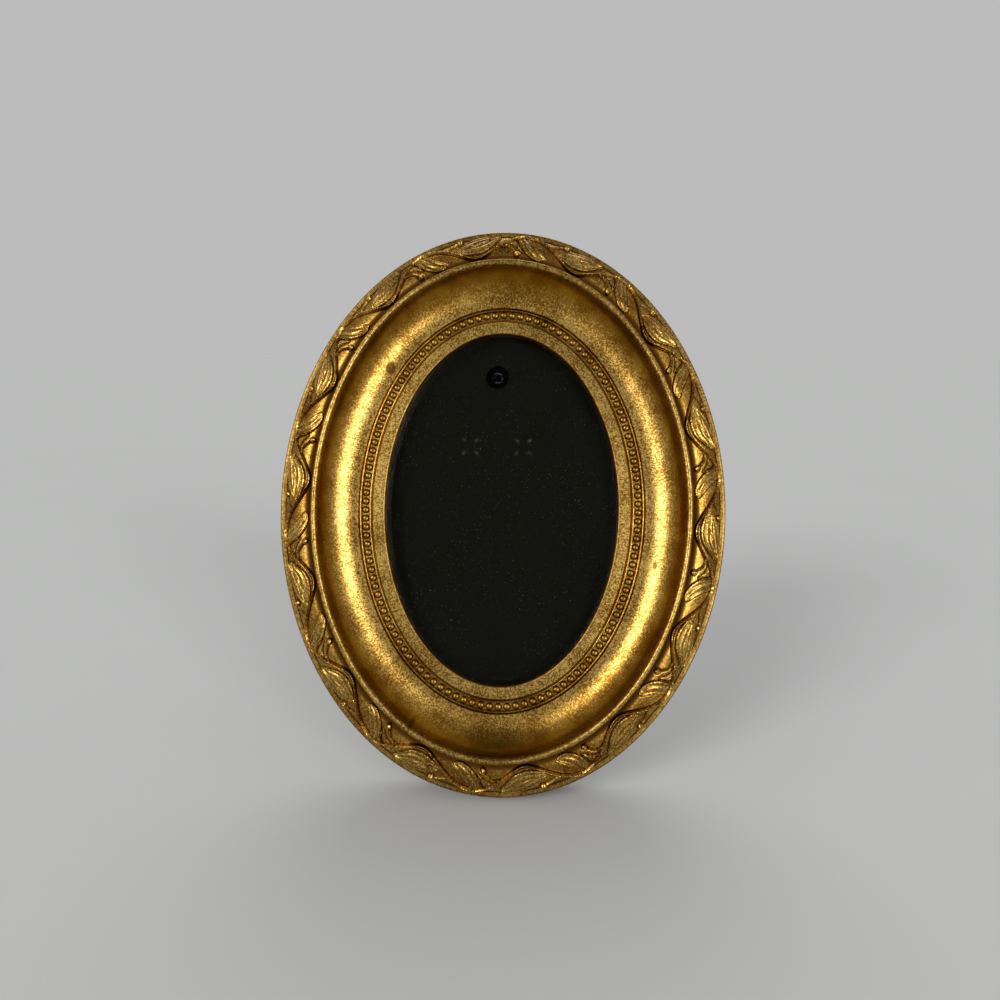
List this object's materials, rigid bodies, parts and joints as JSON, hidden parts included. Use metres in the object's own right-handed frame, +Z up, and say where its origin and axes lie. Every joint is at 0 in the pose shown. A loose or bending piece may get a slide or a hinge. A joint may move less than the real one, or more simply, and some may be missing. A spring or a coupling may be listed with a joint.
{
  "type": "oval picture frame",
  "caption": "Oval table picture frame with an antique gold beaded cove moulding, glass, and an easel back with a folding strut, hanger ring and turn buttons.",
  "frame": {"origin": "on the table, under the middle of the frame's outer box, standing on its open strut", "axes": "+Z up, X across the picture, the picture faces -Y and leans back by 16 degrees"},
  "size_m": [0.1396, 0.0714, 0.1723],
  "materials": {
    "gilt_moulding": "cast moulding in rubbed antique gold over umber",
    "glass": "clear flat glass",
    "black_paper": "smooth black paper",
    "fibreboard": "dark pressed fibreboard",
    "black_velour": "short black velour",
    "nickel_steel": "nickel-plated steel",
    "brass_plate": "brass-plated, satin"
  },
  "bodies": {
    "frame": {"frame_moulding": "gilt_moulding", "glass_pane": "glass", "board_facing": "black_paper", "backing_board": "fibreboard", "board_lining": "black_velour", "hanger_eyelet": "nickel_steel", "hanger_strap": "nickel_steel", "hinge_board_leaf": "nickel_steel", "hinge_pin": "nickel_steel", "board_rivet_left": "nickel_steel", "board_rivet_right": "nickel_steel", "turn_button_screw_top_right": "brass_plate", "turn_button_screw_top_left": "brass_plate", "turn_button_screw_bottom_left": "brass_plate", "turn_button_screw_bottom_right": "brass_plate"},
    "strut": {"strut": "fibreboard", "strut_lining": "black_velour", "hinge_strut_leaf": "nickel_steel", "strut_rivet_left": "nickel_steel", "strut_rivet_right": "nickel_steel"},
    "hanger_ring": {"hanger_ring": "nickel_steel"},
    "turn_button_top_right": {"turn_button_top_right": "brass_plate"},
    "turn_button_top_left": {"turn_button_top_left": "brass_plate"},
    "turn_button_bottom_left": {"turn_button_bottom_left": "brass_plate"},
    "turn_button_bottom_right": {"turn_button_bottom_right": "brass_plate"}
  },
  "joints": [
    {"name": "strut_hinge", "type": "hinge", "parent": "frame", "child": "strut", "pos_m": [-0.0019, 0.00882, 0.09494], "axis": [1, 0, 0], "range_deg": [-31, 0]},
    {"name": "ring_swing", "type": "hinge", "parent": "frame", "child": "hanger_ring", "pos_m": [-0.0019, 0.01692, 0.12954], "axis": [1, 0, 0], "range_deg": [-13, 160]},
    {"name": "turn_button_top_right_swivel", "type": "hinge", "parent": "frame", "child": "turn_button_top_right", "pos_m": [0.03743, 0.01367, 0.12311], "axis": [0, 0.9613, -0.2756], "continuous": true},
    {"name": "turn_button_top_left_swivel", "type": "hinge", "parent": "frame", "child": "turn_button_top_left", "pos_m": [-0.03743, 0.01367, 0.12311], "axis": [0, 0.9613, -0.2756], "continuous": true},
    {"name": "turn_button_bottom_left_swivel", "type": "hinge", "parent": "frame", "child": "turn_button_bottom_left", "pos_m": [-0.03743, -0.00891, 0.04434], "axis": [0, 0.9613, -0.2756], "continuous": true},
    {"name": "turn_button_bottom_right_swivel", "type": "hinge", "parent": "frame", "child": "turn_button_bottom_right", "pos_m": [0.03743, -0.00891, 0.04434], "axis": [0, 0.9613, -0.2756], "continuous": true}
  ]
}
